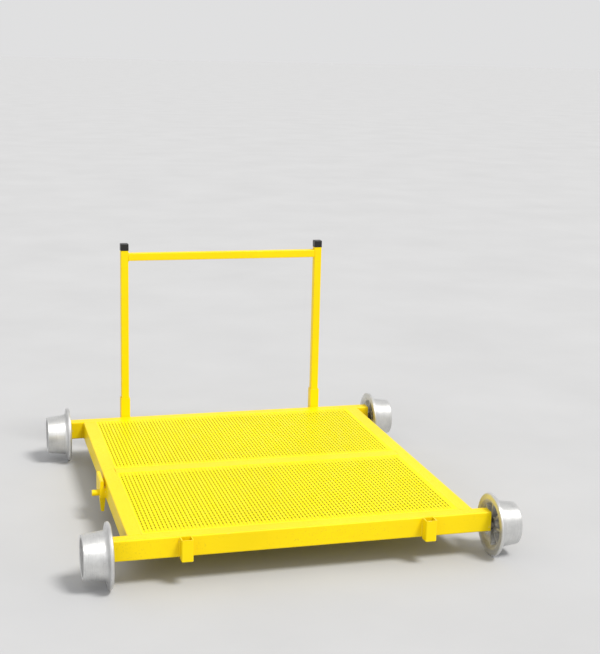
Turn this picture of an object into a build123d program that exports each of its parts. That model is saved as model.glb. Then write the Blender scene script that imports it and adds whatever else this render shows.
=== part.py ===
from build123d import *
import math
import os

# Push cart that runs on railway track: a flat welded frame with a perforated deck, four flanged
# wheels and a lift-out push handle at its rear end. Millimetres. X runs across the track, Y runs
# along it from the front end to the handle end, Z is up. The floor under the flanges is Z = 0.

# Main sizes of the frame
FRAME_LENGTH = 1426.0
FRAME_WIDTH = 1230.0
BEAM_OVERHANG = 46.0
TUBE_WIDTH = 50.0
TUBE_HEIGHT = 72.0
TUBE_CORNER = 5.0
DECK_TOP = 168.0
END_PLATE_THICKNESS = 6.0
END_PLATE_CORNER = 4.0

# Deck panels: thin sheet, plain at its margins and perforated in lengthwise rows
DECK_THICKNESS = 5.0
DECK_MARGIN = 15.0
ROWS_LEFT_MARGIN = 3.0
ROWS_RIGHT_MARGIN = 14.0
ROW_PITCH = 13.5
ROW_WIDTH = 5.0
ROW_DEPTH = 1.0

# Stake pockets at the front and handle sockets at the rear: square tube, closed below
POCKET_SIZE = 40.0
POCKET_WALL = 3.5
POCKET_FLOOR = 4.0
POCKET_BELOW_BEAM = 4.0
POCKET_SPACING = 854.0
POCKET_CORNER = 4.5
POCKET_FOOT_CORNER = 3.0
SOCKET_RISE = 82.0

# Push handle
HANDLE_TUBE = 32.0
HANDLE_CORNER = 3.5
HANDLE_TOP = 897.0
CROSSBAR_DROP = 12.0
CAP_SIZE = 34.0
CAP_HEIGHT = 29.0
CAP_CORNER = 3.0

# Wheels: flange and conical tread in one casting, dished on both sides, with ribs inside
FLANGE_RADIUS = 112.0
FLANGE_THICKNESS = 18.0
TREAD_ROOT_RADIUS = 84.0
TREAD_END_RADIUS = 75.5
WHEEL_WIDTH = 95.0
FLANGE_GAP = 5.0
DISH_RADIUS = 90.0
DISH_LIP_RADIUS = 78.0
DISH_LIP_DEPTH = 7.0
RIM_INNER_RADIUS = 66.0
RIM_INNER_RADIUS_OUTSIDE = 65.0
WEB_START = 30.0
WEB_THICKNESS = 12.0
HUB_RADIUS = 32.0
HUB_START = 10.0
HUB_END = 68.0
RIB_COUNT = 8
RIB_THICKNESS = 7.0
RIB_START = 9.0
RIB_REACH = 80.0

# Axles
AXLE_RADIUS = 12.5
RUNNING_CLEARANCE = 0.05
BUSH_RADIUS = 18.0
AXLE_SIDE_CLEARANCE = 0.5
SPACER_RADIUS = 19.0
NUT_ACROSS_FLATS = 38.0
NUT_THICKNESS = 15.0
AXLE_PAST_NUT = 4.0

# Bracket on the left side rail: a block with a slot beside the rail, a tail below and a peg outward
BRACKET_Y = -50.0
BRACKET_LENGTH = 116.0
BRACKET_THICKNESS = 22.0
SLOT_WIDTH = 8.0
SLOT_DEPTH = 30.0
PEG_RADIUS = 11.5
PEG_LENGTH = 28.0
PEG_Y = -86.0
PEG_Z = 116.0
TAIL_WIDTH = 26.0
TAIL_DROP = 50.0
TAIL_INNER = 6.0
TAIL_OUTER = 17.0

# Values that follow from the sizes above
beam_length = FRAME_WIDTH + 2 * BEAM_OVERHANG
beam_y = (FRAME_LENGTH - TUBE_WIDTH) / 2
tube_z = DECK_TOP - TUBE_HEIGHT / 2
tube_bottom = DECK_TOP - TUBE_HEIGHT
rail_x = (FRAME_WIDTH - TUBE_WIDTH) / 2
rail_length = FRAME_LENGTH - 2 * TUBE_WIDTH
bay_width = FRAME_WIDTH - 2 * TUBE_WIDTH
bay_length = (rail_length - TUBE_WIDTH) / 2
axle_z = FLANGE_RADIUS
beam_end_x = beam_length / 2 + END_PLATE_THICKNESS
wheel_x = beam_end_x + FLANGE_GAP
pocket_y = (FRAME_LENGTH + POCKET_SIZE) / 2
pocket_x = POCKET_SPACING / 2
pocket_bottom = tube_bottom - POCKET_BELOW_BEAM
handle_foot = pocket_bottom + POCKET_FLOOR

ENDS = (("front", -1), ("rear", 1))
SIDES = (("left", -1), ("right", 1))
pieces = {}


def bar(length_x, length_y, length_z, edges, radius):
    """A straight tube seen from outside, its long edges rounded."""
    body = Box(length_x, length_y, length_z)
    return fillet(body.edges().filter_by(edges), radius)


# Frame tubes
for end, y_side in ENDS:
    beam = bar(beam_length, TUBE_WIDTH, TUBE_HEIGHT, Axis.X, TUBE_CORNER)
    pieces[f"end_beam_{end}"] = Pos(0, y_side * beam_y, tube_z) * beam
    for side, x_side in SIDES:
        plate = bar(END_PLATE_THICKNESS, TUBE_WIDTH, TUBE_HEIGHT, Axis.X, END_PLATE_CORNER)
        plate_x = x_side * (beam_length + END_PLATE_THICKNESS) / 2
        pieces[f"end_plate_{end}_{side}"] = Pos(plate_x, y_side * beam_y, tube_z) * plate
for side, x_side in SIDES:
    rail = bar(TUBE_WIDTH, rail_length, TUBE_HEIGHT, Axis.Y, TUBE_CORNER)
    pieces[f"side_rail_{side}"] = Pos(x_side * rail_x, 0, tube_z) * rail
crossmember = bar(bay_width, TUBE_WIDTH, TUBE_HEIGHT, Axis.X, TUBE_CORNER)
pieces["middle_crossmember"] = Pos(0, 0, tube_z) * crossmember

# Deck panels
panel_y = (TUBE_WIDTH + bay_length) / 2
rows = int((bay_width - ROWS_LEFT_MARGIN - ROWS_RIGHT_MARGIN) // ROW_PITCH)
rows_x = (ROWS_LEFT_MARGIN - ROWS_RIGHT_MARGIN) / 2
for end, y_side in ENDS:
    panel = Box(bay_width, bay_length, DECK_THICKNESS)
    groove = Box(ROW_WIDTH, bay_length - 2 * DECK_MARGIN, 2 * ROW_DEPTH)
    grooves = [
        Pos(rows_x + (i - (rows - 1) / 2) * ROW_PITCH, 0, DECK_THICKNESS / 2) * groove
        for i in range(rows)
    ]
    panel = panel - grooves
    pieces[f"deck_panel_{end}"] = Pos(0, y_side * panel_y, DECK_TOP - DECK_THICKNESS / 2) * panel

# Stake pockets in front, handle sockets behind
hole_size = POCKET_SIZE - 2 * POCKET_WALL
for name, y_side, top in (("stake_pocket", -1, DECK_TOP), ("handle_socket", 1, DECK_TOP + SOCKET_RISE)):
    height = top - pocket_bottom
    for side, x_side in SIDES:
        tube = bar(POCKET_SIZE, POCKET_SIZE, height, Axis.Z, POCKET_CORNER)
        tube = fillet(tube.faces().sort_by(Axis.Z)[0].edges(), POCKET_FOOT_CORNER)
        hole = bar(hole_size, hole_size, height, Axis.Z, POCKET_CORNER - POCKET_WALL)
        tube = tube - Pos(0, 0, POCKET_FLOOR) * hole
        place = Pos(x_side * pocket_x, y_side * pocket_y, pocket_bottom + height / 2)
        pieces[f"{name}_{side}"] = place * tube

# Push handle
upright_height = HANDLE_TOP - handle_foot
for side, x_side in SIDES:
    upright = bar(HANDLE_TUBE, HANDLE_TUBE, upright_height, Axis.Z, HANDLE_CORNER)
    place = Pos(x_side * pocket_x, pocket_y, handle_foot + upright_height / 2)
    pieces[f"handle_upright_{side}"] = place * upright
    cap = bar(CAP_SIZE, CAP_SIZE, CAP_HEIGHT, Axis.Z, HANDLE_CORNER)
    cap = fillet(cap.faces().sort_by(Axis.Z)[-1].edges(), CAP_CORNER)
    pieces[f"handle_cap_{side}"] = Pos(x_side * pocket_x, pocket_y, HANDLE_TOP + CAP_HEIGHT / 2) * cap
crossbar = bar(POCKET_SPACING - HANDLE_TUBE, HANDLE_TUBE, HANDLE_TUBE, Axis.X, HANDLE_CORNER)
crossbar_z = HANDLE_TOP - CROSSBAR_DROP - HANDLE_TUBE / 2
pieces["handle_crossbar"] = Pos(0, pocket_y, crossbar_z) * crossbar

# One wheel about the Z axis, its inner flange face at Z = 0 and its outer end at Z = WHEEL_WIDTH
with BuildPart() as wheel_builder:
    with BuildSketch(Plane.XZ) as section:
        with BuildLine():
            Polyline(
                (BUSH_RADIUS, HUB_START),
                (HUB_RADIUS, HUB_START),
                (HUB_RADIUS + 3, WEB_START),
                (RIM_INNER_RADIUS, WEB_START),
                (RIM_INNER_RADIUS + 1, WEB_START - 4),
                (DISH_LIP_RADIUS, DISH_LIP_DEPTH),
                (DISH_RADIUS, 0),
                (FLANGE_RADIUS - 5, 0),
                (FLANGE_RADIUS - 1.5, 2.0),
                (FLANGE_RADIUS, 6.0),
                (FLANGE_RADIUS, 8.0),
                (FLANGE_RADIUS - 2.0, 12.0),
                (TREAD_ROOT_RADIUS + 8, FLANGE_THICKNESS - 2),
                (TREAD_ROOT_RADIUS + 2.5, FLANGE_THICKNESS + 1),
                (TREAD_ROOT_RADIUS, FLANGE_THICKNESS + 6),
                (TREAD_END_RADIUS, WHEEL_WIDTH - 2),
                (TREAD_END_RADIUS - 2, WHEEL_WIDTH),
                (RIM_INNER_RADIUS_OUTSIDE + 2, WHEEL_WIDTH),
                (RIM_INNER_RADIUS_OUTSIDE, WHEEL_WIDTH - 2),
                (RIM_INNER_RADIUS_OUTSIDE - 2, WEB_START + WEB_THICKNESS),
                (HUB_RADIUS + 2, WEB_START + WEB_THICKNESS),
                (HUB_RADIUS, HUB_END),
                (BUSH_RADIUS, HUB_END),
                close=True,
            )
        make_face()
    revolve(axis=Axis.Z)
wheel = wheel_builder.part
rib_length = RIB_REACH - HUB_RADIUS
rib_height = WEB_START - RIB_START
rib = Box(rib_length, RIB_THICKNESS, rib_height)
ribs = [
    Rot(0, 0, 360 * i / RIB_COUNT)
    * Pos(HUB_RADIUS + rib_length / 2, 0, RIB_START + rib_height / 2)
    * rib
    for i in range(RIB_COUNT)
]
wheel = wheel + ribs
bush_length = HUB_END - HUB_START
bush = Cylinder(BUSH_RADIUS, bush_length) - Cylinder(AXLE_RADIUS + RUNNING_CLEARANCE, bush_length)
bush = Pos(0, 0, HUB_START + bush_length / 2) * bush

# Axle, spacer and nut about the same axis; the axle starts on the beam's end plate
axle_start = beam_end_x - wheel_x
axle_end = HUB_END + AXLE_SIDE_CLEARANCE + NUT_THICKNESS + AXLE_PAST_NUT
axle_length = axle_end - axle_start
axle = Cylinder(AXLE_RADIUS, axle_length)
axle = chamfer(axle.faces().sort_by(Axis.Z)[-1].edges(), 1.5)
axle = Pos(0, 0, axle_start + axle_length / 2) * axle
spacer_length = HUB_START - AXLE_SIDE_CLEARANCE - axle_start
spacer = Cylinder(SPACER_RADIUS, spacer_length) - Cylinder(AXLE_RADIUS, spacer_length)
spacer = Pos(0, 0, axle_start + spacer_length / 2) * spacer
nut = extrude(RegularPolygon(NUT_ACROSS_FLATS / 2, 6, major_radius=False), NUT_THICKNESS)
nut = nut - Pos(0, 0, NUT_THICKNESS / 2) * Cylinder(AXLE_RADIUS, NUT_THICKNESS)
nut = Pos(0, 0, HUB_END + AXLE_SIDE_CLEARANCE) * nut

for end, y_side in ENDS:
    for side, x_side in SIDES:
        place = Pos(x_side * wheel_x, y_side * beam_y, axle_z) * Rot(0, x_side * 90, 0)
        corner = f"{end}_{side}"
        pieces[f"wheel_{corner}"] = place * wheel
        pieces[f"wheel_bush_{corner}"] = place * bush
        pieces[f"stub_axle_{corner}"] = place * axle
        pieces[f"axle_spacer_{corner}"] = place * spacer
        pieces[f"axle_nut_{corner}"] = place * nut

# Bracket and peg on the outer face of the left side rail
rail_face = -FRAME_WIDTH / 2
outer_face = rail_face - BRACKET_THICKNESS
with BuildPart() as bracket_builder:
    with BuildSketch(Plane.XZ.offset(-BRACKET_Y - BRACKET_LENGTH / 2)):
        with BuildLine():
            Polyline(
                (rail_face, tube_bottom + TUBE_CORNER),
                (rail_face, DECK_TOP - SLOT_DEPTH),
                (rail_face - SLOT_WIDTH, DECK_TOP - SLOT_DEPTH),
                (rail_face - SLOT_WIDTH, DECK_TOP - 2),
                (rail_face - SLOT_WIDTH - 2, DECK_TOP),
                (outer_face + 4, DECK_TOP),
                (outer_face, DECK_TOP - 4),
                (outer_face, tube_bottom + TUBE_CORNER),
                close=True,
            )
        make_face()
    extrude(amount=BRACKET_LENGTH)
with BuildPart() as tail_builder:
    with BuildSketch(Plane.XZ.offset(-PEG_Y - TAIL_WIDTH / 2)):
        with BuildLine():
            Polyline(
                (rail_face - 1, tube_bottom + TUBE_CORNER),
                (outer_face, tube_bottom + TUBE_CORNER),
                (outer_face, tube_bottom - 2),
                (rail_face - TAIL_OUTER, tube_bottom - TAIL_DROP),
                (rail_face - TAIL_INNER, tube_bottom - TAIL_DROP),
                (rail_face - 1, tube_bottom - 4),
                close=True,
            )
        make_face()
    extrude(amount=TAIL_WIDTH)
pieces["side_bracket"] = bracket_builder.part + tail_builder.part
peg = Cylinder(PEG_RADIUS, PEG_LENGTH)
peg = fillet(peg.faces().sort_by(Axis.Z)[-1].edges(), 2)
pieces["side_peg"] = Pos(outer_face - PEG_LENGTH / 2, PEG_Y, PEG_Z) * Rot(0, -90, 0) * peg

os.makedirs("parts", exist_ok=True)
for name, shape in pieces.items():
    export_step(shape, f"parts/{name}.step")
print(len(pieces), "pieces")
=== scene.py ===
import math

import bpy
from bpy.props import FloatProperty, FloatVectorProperty, PointerProperty
from mathutils import Matrix, Vector


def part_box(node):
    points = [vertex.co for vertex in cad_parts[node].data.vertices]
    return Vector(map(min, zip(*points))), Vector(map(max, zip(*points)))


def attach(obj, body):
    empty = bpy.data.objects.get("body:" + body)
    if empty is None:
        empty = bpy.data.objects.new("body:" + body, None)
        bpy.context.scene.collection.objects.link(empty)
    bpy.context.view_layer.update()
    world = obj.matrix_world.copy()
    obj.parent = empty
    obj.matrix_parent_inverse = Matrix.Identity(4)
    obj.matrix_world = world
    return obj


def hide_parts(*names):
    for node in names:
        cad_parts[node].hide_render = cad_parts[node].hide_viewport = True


bl_info = {
    "name": "Rail push cart",
    "version": (1, 0, 0),
    "blender": (4, 5, 0),
    "location": "3D View > Sidebar > Push cart",
    "description": "Paint, deck, welds, wheels, handle and stage of a rail push cart",
    "category": "Object",
}

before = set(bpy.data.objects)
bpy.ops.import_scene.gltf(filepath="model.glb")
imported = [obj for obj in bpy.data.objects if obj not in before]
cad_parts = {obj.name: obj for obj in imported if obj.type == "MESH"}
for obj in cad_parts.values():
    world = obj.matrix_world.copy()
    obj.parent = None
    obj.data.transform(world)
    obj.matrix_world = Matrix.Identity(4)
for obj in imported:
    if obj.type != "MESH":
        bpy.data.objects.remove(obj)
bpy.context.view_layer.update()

ENDS = (("front", -1), ("rear", 1))
SIDES = (("left", -1), ("right", 1))
CORNERS = [f"{end}_{side}" for end, _ in ENDS for side, _ in SIDES]
FRAME_TUBES = (
    ["middle_crossmember"]
    + [f"end_beam_{end}" for end, _ in ENDS]
    + [f"side_rail_{side}" for side, _ in SIDES]
    + [f"end_plate_{corner}" for corner in CORNERS]
)
POCKETS = [f"{kind}_{side}" for kind in ("stake_pocket", "handle_socket") for side, _ in SIDES]

TREAD, GROOVE, HOLE = 0, 1, 2
CORNER_CLEARANCE = 0.004
BEAD_SUNK = 0.0006
BEAD_END_SHARE = 0.35
BEAD_END_TAPER = 12
BEAD_FLATNESS = 0.16
BRACKET_WELD_FROM = 0.008
BRACKET_WELD_TO = 0.040


# Sizes and colours that a user would change

class PaintSettings(bpy.types.PropertyGroup):
    frame_colour: FloatVectorProperty(
        name="Frame paint", description="Yellow of the frame tubes and the handle",
        subtype="COLOR", size=3, min=0, max=1, default=(0.92, 0.68, 0.0015))
    deck_colour: FloatVectorProperty(
        name="Deck paint", description="Yellow of the deck panels",
        subtype="COLOR", size=3, min=0, max=1, default=(0.92, 0.77, 0.002))
    # Brown dust on the paint. In the deck's grooves and holes this colour also serves as painted shade.
    dirt_and_shade_colour: FloatVectorProperty(
        name="Dirt", description="Brown dust that settles in grooves and corners",
        subtype="COLOR", size=3, min=0, max=1, default=(0.17, 0.115, 0.045))
    bare_colour: FloatVectorProperty(
        name="Bare metal", description="Metal that shows where the paint has chipped",
        subtype="COLOR", size=3, min=0, max=1, default=(0.62, 0.60, 0.56))
    edge_radius: FloatProperty(
        name="Edge wear", description="How far wear reaches from an edge",
        unit="LENGTH", subtype="DISTANCE", min=0.0005, max=0.01, default=0.003)


class DeckSettings(bpy.types.PropertyGroup):
    margin: FloatProperty(
        name="Margin", description="Plain border of a deck panel",
        unit="LENGTH", subtype="DISTANCE", min=0, default=0.015)
    left_margin: FloatProperty(
        name="Left margin", description="Plain border to the left of the rows",
        unit="LENGTH", subtype="DISTANCE", min=0, default=0.003)
    right_margin: FloatProperty(
        name="Right margin", description="Plain border to the right of the rows",
        unit="LENGTH", subtype="DISTANCE", min=0, default=0.014)
    pitch: FloatProperty(
        name="Row pitch", description="Distance from one groove to the next",
        unit="LENGTH", subtype="DISTANCE", min=0.005, default=0.0135)
    groove: FloatProperty(
        name="Groove width", description="Width of a groove at the deck's surface",
        unit="LENGTH", subtype="DISTANCE", min=0.001, default=0.0056)
    lip: FloatProperty(
        name="Groove lip", description="Rounding of a groove's upper edge",
        unit="LENGTH", subtype="DISTANCE", min=0.0001, default=0.0004)
    groove_depth: FloatProperty(
        name="Groove depth", description="Depth of the groove between two holes",
        unit="LENGTH", subtype="DISTANCE", min=0.0002, default=0.0005)
    hole_depth: FloatProperty(
        name="Hole depth", description="Depth that shows in a punched hole",
        unit="LENGTH", subtype="DISTANCE", min=0.001, default=0.0042)
    hole_length: FloatProperty(
        name="Hole length", description="Length of a punched hole along its groove",
        unit="LENGTH", subtype="DISTANCE", min=0.001, default=0.0125)
    hole_pitch: FloatProperty(
        name="Hole pitch", description="Distance from one hole to the next along a groove",
        unit="LENGTH", subtype="DISTANCE", min=0.002, default=0.0245)


class WeldSettings(bpy.types.PropertyGroup):
    size: FloatProperty(
        name="Bead size", description="Leg of a weld bead in a corner",
        unit="LENGTH", subtype="DISTANCE", min=0.001, max=0.01, default=0.0042)
    ripple: FloatProperty(
        name="Ripple pitch", description="Distance from one ripple of a bead to the next",
        unit="LENGTH", subtype="DISTANCE", min=0.001, max=0.02, default=0.0045)
    ripple_height: FloatProperty(
        name="Ripple height", description="Share of the bead's size that its ripples rise and fall",
        subtype="FACTOR", min=0, max=0.5, default=0.16)
    seam_width: FloatProperty(
        name="Seam width", description="Width of the dressed seams level with the deck",
        unit="LENGTH", subtype="DISTANCE", min=0.001, default=0.0105)
    seam_height: FloatProperty(
        name="Seam height", description="How far a dressed seam stands proud",
        unit="LENGTH", subtype="DISTANCE", min=0.0001, max=0.003, default=0.0005)
    seam_ripple: FloatProperty(
        name="Seam ripple", description="Distance from one ripple of a seam to the next",
        unit="LENGTH", subtype="DISTANCE", min=0.002, default=0.009)


class WheelSettings(bpy.types.PropertyGroup):
    cast_colour: FloatVectorProperty(
        name="Cast metal", description="Silver-white of the cast wheels",
        subtype="COLOR", size=3, min=0, max=1, default=(0.70, 0.70, 0.69))
    steel_colour: FloatVectorProperty(
        name="Axle steel", description="Dull steel of axles, spacers and nuts",
        subtype="COLOR", size=3, min=0, max=1, default=(0.30, 0.29, 0.28))
    grease_colour: FloatVectorProperty(
        name="Grease", description="Dark film near the hubs",
        subtype="COLOR", size=3, min=0, max=1, default=(0.045, 0.038, 0.03))
    turning_scale: FloatProperty(
        name="Turning marks", description="Fineness of the lathe marks on the tread",
        min=10, max=2000, default=420)


class HandleSettings(bpy.types.PropertyGroup):
    cap_colour: FloatVectorProperty(
        name="End caps", description="Black of the moulded end caps",
        subtype="COLOR", size=3, min=0, max=1, default=(0.007, 0.007, 0.008))


class StageSettings(bpy.types.PropertyGroup):
    floor_colour: FloatVectorProperty(
        name="Floor", description="Pale floor under the cart",
        subtype="COLOR", size=3, min=0, max=1, default=(0.511, 0.513, 0.519))
    sky_colour: FloatVectorProperty(
        name="Sky", description="Even light from all round",
        subtype="COLOR", size=3, min=0, max=1, default=(0.98, 0.98, 0.985))
    sky_strength: FloatProperty(
        name="Sky light", description="Strength of the even light from all round", min=0, default=0.76)
    floor_reach: FloatProperty(
        name="Floor reach", description="Distance from the cart to the floor's edge",
        unit="LENGTH", subtype="DISTANCE", min=5, default=160.0)
    camera_place: FloatVectorProperty(
        name="Camera", description="Where the camera stands",
        subtype="TRANSLATION", unit="LENGTH", size=3, default=(-1.1615, -4.6414, 1.7490))
    heading: FloatProperty(
        name="Heading", description="How far the camera turns right from the track",
        subtype="ANGLE", default=math.radians(15.773))
    pitch: FloatProperty(
        name="Pitch", description="How far the camera looks down",
        subtype="ANGLE", default=math.radians(12.256))
    roll: FloatProperty(
        name="Roll", description="How far the camera leans",
        subtype="ANGLE", default=math.radians(1.365))
    lens: FloatProperty(
        name="Lens", description="Focal length on a 36 mm wide sensor",
        min=10, max=400, default=76.735)
    key_strength: FloatProperty(
        name="Key light", description="Strength of the soft main light", min=0, default=2.5)
    key_softness: FloatProperty(
        name="Key softness", description="Angle that the main light fills in the sky",
        subtype="ANGLE", min=0, default=math.radians(18))
    key_direction: FloatVectorProperty(
        name="Key direction", description="Way that the main light shines",
        subtype="DIRECTION", size=3, default=(-0.42, 0.50, -1.0))
    side_strength: FloatProperty(
        name="Side light", description="Strength of the soft side light", min=0, default=0.36)
    side_softness: FloatProperty(
        name="Side softness", description="Angle that the side light fills in the sky",
        subtype="ANGLE", min=0, default=math.radians(27))
    side_direction: FloatVectorProperty(
        name="Side direction", description="Way that the side light shines",
        subtype="DIRECTION", size=3, default=(3.6, 3.4, -1.45))


# Materials

class Finish:
    """A material under construction: short calls for the nodes that its layers share."""

    def __init__(self, name):
        self.material = bpy.data.materials.new(name)
        self.material.use_nodes = True
        self.tree = self.material.node_tree
        self.shader = self.tree.nodes["Principled BSDF"]
        self.place = self.tree.nodes.new("ShaderNodeTexCoord").outputs["Object"]

    def node(self, kind, inputs=None, **settings):
        made = self.tree.nodes.new("ShaderNode" + kind)
        for key, value in settings.items():
            setattr(made, key, value)
        for key, value in (inputs or {}).items():
            self.feed(made.inputs[key], value)
        return made

    def feed(self, socket, value):
        if isinstance(value, bpy.types.NodeSocket):
            self.tree.links.new(value, socket)
        else:
            socket.default_value = value

    def stretched(self, scale):
        """The place on the object, scaled differently along X, Y and Z."""
        return self.node("Mapping", {"Vector": self.place, "Scale": scale}).outputs["Vector"]

    def noise(self, scale, detail=4.0, rough=0.55, place=None):
        inputs = {"Vector": place or self.place, "Scale": scale, "Detail": detail, "Roughness": rough}
        return self.node("TexNoise", inputs).outputs["Fac"]

    def ramp(self, value, low, high, at_low=0.0, at_high=1.0):
        inputs = {"Value": value, "From Min": low, "From Max": high, "To Min": at_low, "To Max": at_high}
        return self.node("MapRange", inputs).outputs["Result"]

    def math(self, operation, a, b=0.0):
        return self.node("Math", {0: a, 1: b}, operation=operation).outputs[0]

    def mix(self, factor, a, b):
        made = self.node("Mix", data_type="RGBA")
        self.feed(made.inputs[0], factor)
        self.feed(made.inputs[6], a if isinstance(a, bpy.types.NodeSocket) else (*a, 1.0))
        self.feed(made.inputs[7], b if isinstance(b, bpy.types.NodeSocket) else (*b, 1.0))
        return made.outputs[2]

    def edges(self, radius):
        """1 on convex and concave edges, 0 on flat faces."""
        soft = self.node("Bevel", {"Radius": radius}, samples=4).outputs["Normal"]
        true = self.node("NewGeometry").outputs["Normal"]
        dot = self.node("VectorMath", {0: soft, 1: true}, operation="DOT_PRODUCT").outputs["Value"]
        return self.ramp(dot, 0.998, 0.93)

    def bump(self, height, distance, strength=1.0, after=None):
        inputs = {"Height": height, "Distance": distance, "Strength": strength}
        if after is not None:
            inputs["Normal"] = after
        return self.node("Bump", inputs).outputs["Normal"]

    def done(self, colour, roughness, normal=None, **constants):
        self.feed(self.shader.inputs["Base Color"], colour)
        self.feed(self.shader.inputs["Roughness"], roughness)
        if normal is not None:
            self.feed(self.shader.inputs["Normal"], normal)
        for key, value in constants.items():
            self.shader.inputs[key.replace("_", " ")].default_value = value
        return self.material


def shade(colour, factor):
    return tuple(min(1.0, c * factor) for c in colour)


def yellow_paint(name, colour, settings, wear=1.0):
    """Brushed-on yellow enamel: tone drifts, dust settles, edges chip to bare metal."""
    f = Finish(name)
    drift = f.ramp(f.noise(scale=2.6, detail=3.0), 0.3, 0.7)
    tone = f.mix(drift, shade(colour, 0.93), shade(colour, 1.05))
    streaks = f.noise(scale=9.0, detail=6.0, rough=0.65, place=f.stretched((1.0, 0.35, 2.2)))
    tone = f.mix(f.ramp(streaks, 0.52, 0.78, 0.0, 0.30 * wear), tone, shade(colour, 0.78))
    speckle = f.noise(scale=165.0, detail=5.0, rough=0.6)
    patches = f.ramp(f.noise(scale=5.0, detail=4.0), 0.42, 0.68)
    dust = f.math("MULTIPLY", f.ramp(speckle, 0.56, 0.72), patches)
    tone = f.mix(f.math("MULTIPLY", dust, 0.34 * wear), tone, tuple(settings.dirt_and_shade_colour))
    edge = f.edges(settings.edge_radius)
    flakes = f.ramp(f.noise(scale=46.0, detail=7.0, rough=0.7), 0.575, 0.615)
    chip = f.math("MULTIPLY", edge, flakes)
    dents = f.ramp(f.noise(scale=21.0, detail=9.0, rough=0.72), 0.735, 0.755)
    knocks = f.math("MULTIPLY", dents, 0.8)
    chip = f.math("MINIMUM", f.math("ADD", chip, knocks), 1.0)
    tone = f.mix(f.math("MULTIPLY", chip, 0.85 * wear), tone, tuple(settings.bare_colour))
    roughness = f.math("ADD", f.ramp(speckle, 0.3, 0.7, 0.30, 0.44), f.math("MULTIPLY", dust, 0.25))
    peel = f.bump(f.noise(scale=240.0, detail=2.0), 0.0004, 0.35)
    normal = f.bump(f.math("MULTIPLY", chip, -1.0), 0.0003, 0.8, peel)
    return f.done(tone, roughness, normal, Specular_IOR_Level=0.18)


def worn_deck_paint(name, colour, settings):
    """Yellow on the treads of the deck: scuffed along the cart, with dust in fine patches."""
    f = Finish(name)
    drift = f.ramp(f.noise(scale=3.4, detail=4.0), 0.3, 0.7)
    tone = f.mix(drift, shade(colour, 0.92), shade(colour, 1.05))
    scuff = f.noise(scale=60.0, detail=6.0, rough=0.68, place=f.stretched((1.0, 0.12, 1.0)))
    tone = f.mix(f.ramp(scuff, 0.56, 0.74, 0.0, 0.26), tone, shade(colour, 0.66))
    grit = f.ramp(f.noise(scale=310.0, detail=4.0, rough=0.7), 0.60, 0.70)
    patches = f.ramp(f.noise(scale=6.5, detail=6.0), 0.48, 0.66)
    dust = f.math("MULTIPLY", f.math("MULTIPLY", grit, patches), 0.45)
    tone = f.mix(dust, tone, tuple(settings.dirt_and_shade_colour))
    roughness = f.ramp(scuff, 0.35, 0.72, 0.36, 0.58)
    normal = f.bump(f.noise(scale=420.0, detail=3.0), 0.0003, 0.5)
    return f.done(tone, roughness, normal, Specular_IOR_Level=0.08)


def groove_paint(name, colour, settings, dirt_and_shade):
    """Paint in the grooves and punched holes of the deck: darkened as painted shade and mixed with
    settled brown dust, which deepens that painted shade.
    """
    f = Finish(name)
    # Painted shade with some dust: a noise mask sets how much brown goes in, scaled by the recess's
    # darkness share.
    grime_and_shade = f.ramp(f.noise(scale=95.0, detail=5.0, rough=0.65), 0.35, 0.65, 0.6 * dirt_and_shade, 1.3 * dirt_and_shade)
    # The paint is darkened to 0.85 as painted shade in the groove, then mixed towards the brown.
    tone = f.mix(grime_and_shade, shade(colour, 0.85), tuple(settings.dirt_and_shade_colour))
    roughness = f.ramp(grime_and_shade, 0.0, 1.0, 0.5, 0.85)
    return f.done(tone, roughness, f.bump(grime_and_shade, 0.0004, 0.6), Specular_IOR_Level=0.08)


def cast_metal(name, colour, grease, turning):
    """Cast wheel metal: grainy casting, lathe marks along the tread, dark film near the hub."""
    f = Finish(name)
    axes = f.node("SeparateXYZ", {"Vector": f.place}).outputs
    centre = wheel_centre()
    across = f.math("SUBTRACT", f.math("ABSOLUTE", axes["Y"]), centre.y)
    upward = f.math("SUBTRACT", axes["Z"], centre.z)
    squares = f.math("ADD", f.math("MULTIPLY", across, across), f.math("MULTIPLY", upward, upward))
    reach = f.math("SQRT", squares)
    grain = f.noise(scale=190.0, detail=6.0, rough=0.6)
    cloud = f.ramp(f.noise(scale=17.0, detail=5.0), 0.3, 0.7)
    tone = f.mix(cloud, shade(colour, 0.84), shade(colour, 1.12))
    tone = f.mix(f.ramp(grain, 0.58, 0.72, 0.0, 0.35), tone, shade(colour, 0.5))
    smears = f.ramp(f.noise(scale=38.0, detail=5.0), 0.3, 0.62)
    film = f.math("MULTIPLY", f.ramp(reach, 0.064, 0.022), smears)
    tone = f.mix(f.math("MULTIPLY", film, 0.8), tone, grease)
    marks = f.node("TexWave", {"Vector": f.place, "Scale": turning, "Distortion": 1.5, "Detail": 2.0},
                   wave_type="BANDS", bands_direction="X").outputs["Fac"]
    turned = f.math("MULTIPLY", marks, f.ramp(reach, 0.070, 0.076))
    brushed = f.noise(scale=330.0, detail=3.0, rough=0.6, place=f.stretched((1.0, 0.035, 0.035)))
    tone = f.mix(f.ramp(brushed, 0.5, 0.75, 0.0, 0.30), tone, shade(colour, 0.62))
    roughness = f.math("ADD", f.ramp(brushed, 0.3, 0.7, 0.30, 0.50), f.math("MULTIPLY", film, 0.2))
    casting = f.bump(grain, 0.0006, 0.45)
    normal = f.bump(turned, 0.00025, 0.6, casting)
    return f.done(tone, roughness, normal, Metallic=0.82)


def dull_steel(name, colour, grease):
    """Axle steel with a smear of grease."""
    f = Finish(name)
    smear = f.ramp(f.noise(scale=55.0, detail=6.0, rough=0.62), 0.42, 0.62)
    tone = f.mix(f.math("MULTIPLY", smear, 0.7), colour, grease)
    marks = f.noise(scale=600.0, detail=2.0, rough=0.5, place=f.stretched((1.0, 0.1, 0.1)))
    roughness = f.ramp(smear, 0.0, 1.0, 0.33, 0.55)
    return f.done(tone, roughness, f.bump(marks, 0.0003, 0.4), Metallic=0.9)


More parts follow.
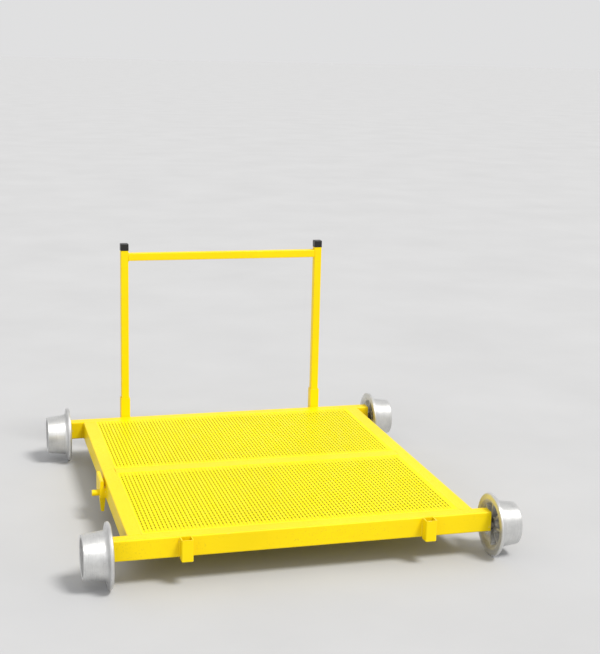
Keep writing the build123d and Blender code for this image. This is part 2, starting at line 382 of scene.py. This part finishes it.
def moulded_plastic(name, colour):
    """Black end cap: fine moulded grain and a light bloom of dust."""
    f = Finish(name)
    bloom = f.ramp(f.noise(scale=28.0, detail=5.0), 0.42, 0.7)
    tone = f.mix(f.math("MULTIPLY", bloom, 0.5), colour, (0.020, 0.020, 0.019))
    grain = f.noise(scale=820.0, detail=2.0)
    return f.done(tone, f.ramp(bloom, 0.0, 1.0, 0.34, 0.52), f.bump(grain, 0.0003, 0.5))


def pale_floor(name, colour):
    """Matt floor with hardly a cloud in its tone."""
    f = Finish(name)
    cloud = f.ramp(f.noise(scale=1.3, detail=5.0), 0.3, 0.7)
    tone = f.mix(cloud, shade(colour, 0.97), shade(colour, 1.03))
    roughness = f.ramp(f.noise(scale=40.0, detail=4.0), 0.3, 0.7, 0.86, 0.95)
    return f.done(tone, roughness, Specular_IOR_Level=0.05)


def wheel_centre():
    """The middle of the rear right wheel; the other three lie opposite it across X and Y."""
    low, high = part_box("wheel_rear_right")
    return (low + high) / 2


def shared(name, build, *words):
    """One material of each name, however many pieces ask for it."""
    return bpy.data.materials.get(name) or build(name, *words)


def frame_paint(kept=False):
    """The frame's paint, or where it is kept, the same paint with hardly a chip."""
    s = bpy.context.scene.cart_paint
    if kept:
        return shared("frame_paint_kept", yellow_paint, tuple(s.frame_colour), s, 0.3)
    return shared("frame_paint_worn", yellow_paint, tuple(s.frame_colour), s)


def dress(names, material):
    """The CAD nodes of those names wear the material."""
    for name in names:
        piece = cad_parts[name]
        if not piece.material_slots:
            raise RuntimeError(f"{name} has no material slot")
        for slot in piece.material_slots:
            slot.material = material


# Meshes

def make_piece(name, vertices, faces, materials, body, indices=None, smooth=False):
    mesh = bpy.data.meshes.new(name)
    mesh.from_pydata([tuple(v) for v in vertices], [], faces)
    for material in materials:
        mesh.materials.append(material)
    if indices:
        mesh.polygons.foreach_set("material_index", indices)
    if smooth:
        mesh.polygons.foreach_set("use_smooth", [True] * len(mesh.polygons))
    mesh.validate()
    mesh.update()
    piece = bpy.data.objects.new(name, mesh)
    bpy.context.collection.objects.link(piece)
    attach(piece, body)
    return piece


def deck_stations(y0, y1, shift, s):
    """Along one groove: where a new depth starts, and that depth, ending level at y1."""
    holes = int((y1 - y0 - s.hole_pitch) / s.hole_pitch)
    first = (y0 + y1) / 2 - holes * s.hole_pitch / 2 + shift / 2
    stations = [(y0, s.groove_depth)]
    for i in range(holes):
        start = first + i * s.hole_pitch
        stations.append((start, s.hole_depth))
        stations.append((start + s.hole_length, s.groove_depth))
    stations.append((y1, 0.0))
    return stations


def deck_mesh(low, high, s):
    """A panel with lengthwise grooves, each with a row of punched holes: vertices, faces, slots."""
    vertices, faces, slots = [], [], []

    def quad(corners, slot):
        start = len(vertices)
        vertices.extend(corners)
        faces.append((start, start + 1, start + 2, start + 3))
        slots.append(slot)

    def strip(ya, yb, xa, za, xb, zb, slot):
        """A face from ya to yb between two lengthwise lines."""
        quad(((xa, ya, za), (xb, ya, zb), (xb, yb, zb), (xa, yb, za)), slot)

    def wall(start, end, z0, z1, slot):
        """An upright face from start to end."""
        quad(((*start, z0), (*end, z0), (*end, z1), (*start, z1)), slot)

    top, bottom, lip = high.z, low.z, high.z - s.lip
    y0, y1 = low.y + s.margin, high.y - s.margin
    rows = int((high.x - low.x - s.left_margin - s.right_margin) / s.pitch)
    middle = (low.x + high.x + s.left_margin - s.right_margin) / 2
    centres = [middle + (i - (rows - 1) / 2) * s.pitch for i in range(rows)]
    for row, x in enumerate(centres):
        left, right = x - s.groove / 2, x + s.groove / 2
        inner_left, inner_right = left + s.lip, right - s.lip
        shift = 0.5 * s.hole_pitch if row % 2 else 0.0
        stations = deck_stations(y0, y1, shift, s)
        for (ya, depth), (yb, _) in zip(stations, stations[1:]):
            # Hole floors and sides take the darkest paint, which is painted shade in the punched holes.
            # Shallow groove floors take the groove paint, which is also darkened as painted shade.
            deep = HOLE if depth > s.groove_depth else GROOVE
            floor = top - depth
            strip(ya, yb, left, top, inner_left, lip, TREAD)
            strip(ya, yb, inner_right, lip, right, top, TREAD)
            strip(ya, yb, inner_left, lip, inner_left, floor, deep)
            strip(ya, yb, inner_right, floor, inner_right, lip, deep)
            strip(ya, yb, inner_left, floor, inner_right, floor, deep)
        depths = [0.0] + [depth for _, depth in stations]
        for (y, depth), before in zip(stations, depths):
            ends = [(inner_left, y), (inner_right, y)]
            if before <= depth:
                ends.reverse()
            wall(*ends, top - max(depth, before), top - min(depth, before), GROOVE)
    tread = [low.x] + [edge for x in centres for edge in (x - s.groove / 2, x + s.groove / 2)] + [high.x]
    for a, b in zip(tread[::2], tread[1::2]):
        strip(y0, y1, a, top, b, top, TREAD)
    for ya, yb in ((low.y, y0), (y1, high.y)):
        strip(ya, yb, low.x, top, high.x, top, TREAD)
    strip(high.y, low.y, low.x, bottom, high.x, bottom, TREAD)
    ring = ((low.x, low.y), (high.x, low.y), (high.x, high.y), (low.x, high.y))
    for start, end in zip(ring, ring[1:] + ring[:1]):
        wall(start, end, bottom, top, TREAD)
    return vertices, faces, slots


def weld_bead(start, end, toward_a, toward_b, s, phase=0.0):
    """A rippled fillet weld from start to end in the corner of two faces that lie along a and b."""
    start, end = Vector(start), Vector(end)
    a, b = Vector(toward_a), Vector(toward_b)
    length = (end - start).length
    steps = max(8, int(length / s.ripple * 6))
    arc = (0.0, 0.25, 0.5, 0.75, 1.0)
    vertices, faces = [], []
    for i in range(steps + 1):
        t = i / steps
        wave = math.sin(2 * math.pi * length * t / s.ripple + phase)
        sway = 0.06 * math.sin(37.0 * length * t + 2.3 * phase)
        taper = min(1.0, BEAD_END_TAPER * min(t, 1 - t) + BEAD_END_SHARE)
        leg = s.size * taper * (1 + s.ripple_height * wave + sway)
        centre = start.lerp(end, t) - (a + b) * BEAD_SUNK
        for u in arc:
            angle = u * math.pi / 2
            bulge = 1.0 - BEAD_FLATNESS * math.sin(2 * angle)
            vertices.append(centre + leg * bulge * (a * math.cos(angle) + b * math.sin(angle)))
        vertices.append(centre)
    count = len(arc) + 1
    for i in range(steps):
        for k in range(count):
            near, far = i * count, (i + 1) * count
            faces.append((near + k, near + (k + 1) % count, far + (k + 1) % count, far + k))
    faces.append(tuple(range(count - 1, -1, -1)))
    faces.append(tuple(steps * count + k for k in range(count)))
    return vertices, faces


def flush_seam(start, end, side, s, phase=0.0):
    """A weld laid along two faces that meet level, dressed nearly flat, from start to end."""
    start, end, side = Vector(start), Vector(end), Vector(side)
    up = Vector((0, 0, 1))
    length = (end - start).length
    steps = max(8, int(length / s.seam_ripple * 4))
    profile = ((-1.0, -0.5), (-0.7, 0.45), (-0.25, 0.95), (0.25, 0.95), (0.7, 0.45), (1.0, -0.5))
    vertices, faces = [], []
    for i in range(steps + 1):
        t = i / steps
        wave = math.sin(2 * math.pi * length * t / s.seam_ripple + phase)
        sway = math.sin(11.0 * length * t + phase) + 0.5 * math.sin(29.0 * length * t)
        half = s.seam_width / 2 * (1 + 0.05 * sway)
        tall = s.seam_height * (1 + 0.18 * wave + 0.10 * sway)
        centre = start.lerp(end, t)
        vertices += [centre + side * half * u + up * tall * v for u, v in profile]
    count = len(profile)
    for i in range(steps):
        for k in range(count - 1):
            near, far = i * count, (i + 1) * count
            faces.append((near + k, near + k + 1, far + k + 1, far + k))
    return vertices, faces


def weld_piece(name, runs, body, shape=weld_bead):
    """One piece of many beads."""
    s = bpy.context.scene.cart_weld
    vertices, faces = [], []
    for number, run in enumerate(runs):
        made, joined = shape(*run, s, phase=1.7 * number)
        base = len(vertices)
        vertices += made
        faces += [tuple(base + i for i in face) for face in joined]
    return make_piece(name, vertices, faces, [frame_paint()], body, smooth=True)


def upright_corners(node, wall_y, away, z0, z1):
    """Two bead lines where a tube's sides meet a beam's face at wall_y."""
    low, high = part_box(node)
    out = Vector((0, away, 0))
    foot, head = z0 + CORNER_CLEARANCE, z1 - CORNER_CLEARANCE
    return [
        ((low.x, wall_y, foot), (low.x, wall_y, head), (-1, 0, 0), out),
        ((high.x, wall_y, foot), (high.x, wall_y, head), (1, 0, 0), out),
    ]


def frame_weld_runs():
    """The beads at both ends: rails and pockets on the beams."""
    runs = []
    for end, y_side in ENDS:
        low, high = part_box(f"end_beam_{end}")
        inner, outer = (high.y, low.y) if y_side < 0 else (low.y, high.y)
        kind = "stake_pocket" if y_side < 0 else "handle_socket"
        foot, head = low.z + CORNER_CLEARANCE, high.z - CORNER_CLEARANCE
        for side, x_side in SIDES:
            rail_low, rail_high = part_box(f"side_rail_{side}")
            x = rail_low.x if x_side < 0 else rail_high.x
            runs.append(((x, inner, foot), (x, inner, head), (x_side, 0, 0), (0, -y_side, 0)))
            runs += upright_corners(f"{kind}_{side}", outer, y_side, low.z, high.z)
    return runs


def deck_seam_runs():
    """The dressed seams: round each deck panel, and where a rail meets a beam."""
    across, along = (1, 0, 0), (0, 1, 0)
    seams = []
    for end, y_side in ENDS:
        low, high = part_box(f"deck_panel_{end}")
        top = high.z
        seams.append(((low.x, low.y, top), (low.x, high.y, top), across))
        seams.append(((high.x, low.y, top), (high.x, high.y, top), across))
        seams.append(((low.x, low.y, top), (high.x, low.y, top), along))
        seams.append(((low.x, high.y, top), (high.x, high.y, top), along))
        for side, _ in SIDES:
            rail_low, rail_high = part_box(f"side_rail_{side}")
            y = rail_low.y if y_side < 0 else rail_high.y
            x0, x1 = rail_low.x + CORNER_CLEARANCE, rail_high.x - CORNER_CLEARANCE
            seams.append(((x0, y, top), (x1, y, top), along))
    return seams


def bracket_weld_runs():
    """The two upright beads at the bracket's ends."""
    low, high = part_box("side_bracket")
    rail_low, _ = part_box("side_rail_left")
    x, z0, z1 = rail_low.x, rail_low.z + BRACKET_WELD_FROM, rail_low.z + BRACKET_WELD_TO
    return [
        ((x, low.y, z0), (x, low.y, z1), (-1, 0, 0), (0, -1, 0)),
        ((x, high.y, z0), (x, high.y, z1), (-1, 0, 0), (0, 1, 0)),
    ]


# Operators, one for each piece or group of like pieces

class CART_OT_frame(bpy.types.Operator):
    """Paint the frame's tubes and end plates"""

    bl_idname = "cart.frame"
    bl_label = "Frame tubes"

    def execute(self, context):
        dress(FRAME_TUBES, frame_paint())
        return {"FINISHED"}


class CART_OT_pockets(bpy.types.Operator):
    """Paint the stake pockets and the handle sockets"""

    bl_idname = "cart.pockets"
    bl_label = "Pockets and sockets"

    def execute(self, context):
        dress(POCKETS, frame_paint(kept=True))
        return {"FINISHED"}


class CART_OT_deck(bpy.types.Operator):
    """Build the two grooved and punched deck panels"""

    bl_idname = "cart.deck"
    bl_label = "Deck panels"

    def execute(self, context):
        paint, deck = context.scene.cart_paint, context.scene.cart_deck
        colour = tuple(paint.deck_colour)
        top = shared("deck_paint_worn", worn_deck_paint, colour, paint)
        # Grooves are darker than the treads, and hole floors darker still at about half the paint's
        # colour: painted shade in the recesses, with some dust.
        groove = shared("deck_groove", groove_paint, colour, paint, 0.20)
        hole = shared("deck_hole", groove_paint, shade(colour, 0.55), paint, 0.55)
        for end, _ in ENDS:
            node = f"deck_panel_{end}"
            vertices, faces, slots = deck_mesh(*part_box(node), deck)
            name = f"deck_tread_{end}"
            piece = make_piece(name, vertices, faces, [top, groove, hole], "frame", slots)
            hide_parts(node)
        return {"FINISHED"}


class CART_OT_welds(bpy.types.Operator):
    """Lay the weld beads of the frame, the pockets and the bracket"""

    bl_idname = "cart.welds"
    bl_label = "Frame welds"

    def execute(self, context):
        weld_piece("frame_welds", frame_weld_runs(), "frame")
        weld_piece("deck_seams", deck_seam_runs(), "frame", shape=flush_seam)
        weld_piece("bracket_welds", bracket_weld_runs(), "frame")
        return {"FINISHED"}


class CART_OT_bracket(bpy.types.Operator):
    """Paint the side bracket and its peg"""

    bl_idname = "cart.bracket"
    bl_label = "Side bracket"

    def execute(self, context):
        dress(["side_bracket", "side_peg"], frame_paint())
        return {"FINISHED"}


class CART_OT_wheels(bpy.types.Operator):
    """Finish the four cast wheels"""

    bl_idname = "cart.wheels"
    bl_label = "Wheels"

    def execute(self, context):
        s = context.scene.cart_wheel
        colours = tuple(s.cast_colour), tuple(s.grease_colour)
        metal = shared("wheel_cast_metal", cast_metal, *colours, s.turning_scale)
        dress([f"wheel_{corner}" for corner in CORNERS], metal)
        return {"FINISHED"}


class CART_OT_axles(bpy.types.Operator):
    """Finish the stub axles, spacers, nuts and bushes"""

    bl_idname = "cart.axles"
    bl_label = "Axles"

    def execute(self, context):
        s = context.scene.cart_wheel
        steel = shared("axle_dull_steel", dull_steel, tuple(s.steel_colour), tuple(s.grease_colour))
        kinds = ("stub_axle", "axle_spacer", "axle_nut", "wheel_bush")
        dress([f"{kind}_{corner}" for kind in kinds for corner in CORNERS], steel)
        return {"FINISHED"}


class CART_OT_handle(bpy.types.Operator):
    """Paint the push handle and weld its crossbar"""

    bl_idname = "cart.handle"
    bl_label = "Push handle"

    def execute(self, context):
        dress(["handle_upright_left", "handle_upright_right", "handle_crossbar"], frame_paint())
        low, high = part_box("handle_crossbar")
        y0, y1 = low.y + CORNER_CLEARANCE, high.y - CORNER_CLEARANCE
        runs = []
        for x, inward in ((low.x, 1), (high.x, -1)):
            runs.append(((x, y0, low.z), (x, y1, low.z), (0, 0, -1), (inward, 0, 0)))
            runs.append(((x, y0, high.z), (x, y1, high.z), (inward, 0, 0), (0, 0, 1)))
        weld_piece("handle_welds", runs, "handle")
        return {"FINISHED"}


class CART_OT_caps(bpy.types.Operator):
    """Finish the two black end caps"""

    bl_idname = "cart.caps"
    bl_label = "End caps"

    def execute(self, context):
        colour = tuple(context.scene.cart_handle.cap_colour)
        plastic = shared("cap_black_plastic", moulded_plastic, colour)
        dress(["handle_cap_left", "handle_cap_right"], plastic)
        return {"FINISHED"}


def lay_floor(context, s):
    reach = s.floor_reach
    corners = [(-reach, -reach, 0), (reach, -reach, 0), (reach, reach, 0), (-reach, reach, 0)]
    mesh = bpy.data.meshes.new("floor")
    mesh.from_pydata(corners, [], [(0, 1, 2, 3)])
    mesh.materials.append(shared("pale_floor", pale_floor, tuple(s.floor_colour)))
    floor = bpy.data.objects.new("floor", mesh)
    context.collection.objects.link(floor)


def hang(context, name, strength, softness, direction, colour):
    """A soft light that shines the way of the direction, equally bright everywhere."""
    light = bpy.data.lights.new(name, "SUN")
    light.energy, light.angle, light.color = strength, softness, colour
    lamp = bpy.data.objects.new(name, light)
    context.collection.objects.link(lamp)
    lamp.rotation_euler = Vector(direction).to_track_quat("-Z", "Y").to_euler()


def hang_lights(context, s):
    warm, cool = (1.0, 0.985, 0.955), (0.95, 0.97, 1.0)
    hang(context, "key_light", s.key_strength, s.key_softness, s.key_direction, warm)
    hang(context, "side_light", s.side_strength, s.side_softness, s.side_direction, cool)

    world = bpy.data.worlds.new("studio")
    world.use_nodes = True
    background = world.node_tree.nodes["Background"]
    background.inputs["Color"].default_value = (*s.sky_colour, 1.0)
    background.inputs["Strength"].default_value = s.sky_strength
    context.scene.world = world
    context.scene.view_settings.view_transform = "Standard"
    context.scene.view_settings.look = "None"


def set_up_camera(context, s):
    level = Vector((math.sin(s.heading), math.cos(s.heading), 0))
    ahead = level * math.cos(s.pitch) - Vector((0, 0, math.sin(s.pitch)))
    right = Vector((math.cos(s.heading), -math.sin(s.heading), 0))
    up = right.cross(ahead)
    x_axis = right * math.cos(s.roll) + up * math.sin(s.roll)
    y_axis = up * math.cos(s.roll) - right * math.sin(s.roll)
    camera = bpy.data.objects.new("camera", bpy.data.cameras.new("camera"))
    context.collection.objects.link(camera)
    turn = Matrix((x_axis, y_axis, -ahead)).transposed().to_4x4()
    camera.matrix_world = Matrix.Translation(Vector(s.camera_place)) @ turn
    camera.data.sensor_fit = "HORIZONTAL"
    camera.data.sensor_width = 36.0
    camera.data.lens = s.lens
    camera.data.clip_end = 4 * s.floor_reach
    context.scene.camera = camera


class CART_OT_stage(bpy.types.Operator):
    """Lay the floor, hang the lights and set up the camera"""

    bl_idname = "cart.stage"
    bl_label = "Stage"

    def execute(self, context):
        settings = context.scene.cart_stage
        lay_floor(context, settings)
        hang_lights(context, settings)
        set_up_camera(context, settings)
        return {"FINISHED"}


class CART_PT_sidebar(bpy.types.Panel):
    """The steps and sizes of the push cart"""

    bl_idname = "CART_PT_sidebar"
    bl_label = "Rail push cart"
    bl_space_type = "VIEW_3D"
    bl_region_type = "UI"
    bl_category = "Push cart"

    def draw(self, context):
        for step in STEPS:
            self.layout.operator(step.bl_idname)
        for key, group in SETTINGS.items():
            box = self.layout.box()
            for name in group.__annotations__:
                box.prop(getattr(context.scene, key), name)


SETTINGS = {
    "cart_paint": PaintSettings,
    "cart_deck": DeckSettings,
    "cart_weld": WeldSettings,
    "cart_wheel": WheelSettings,
    "cart_handle": HandleSettings,
    "cart_stage": StageSettings,
}
STEPS = (
    CART_OT_frame, CART_OT_pockets, CART_OT_deck, CART_OT_welds, CART_OT_bracket,
    CART_OT_wheels, CART_OT_axles, CART_OT_handle, CART_OT_caps, CART_OT_stage,
)


def register():
    for group in (*SETTINGS.values(), *STEPS, CART_PT_sidebar):
        bpy.utils.register_class(group)
    for key, group in SETTINGS.items():
        setattr(bpy.types.Scene, key, PointerProperty(type=group))


def unregister():
    for key in SETTINGS:
        delattr(bpy.types.Scene, key)
    for group in (CART_PT_sidebar, *reversed(STEPS), *SETTINGS.values()):
        bpy.utils.unregister_class(group)


def main():
    register()
    bpy.ops.cart.frame()
    bpy.ops.cart.pockets()
    bpy.ops.cart.deck()
    bpy.ops.cart.welds()
    bpy.ops.cart.bracket()
    bpy.ops.cart.wheels()
    bpy.ops.cart.axles()
    bpy.ops.cart.handle()
    bpy.ops.cart.caps()
    bpy.ops.cart.stage()


if __name__ == "__main__":
    main()
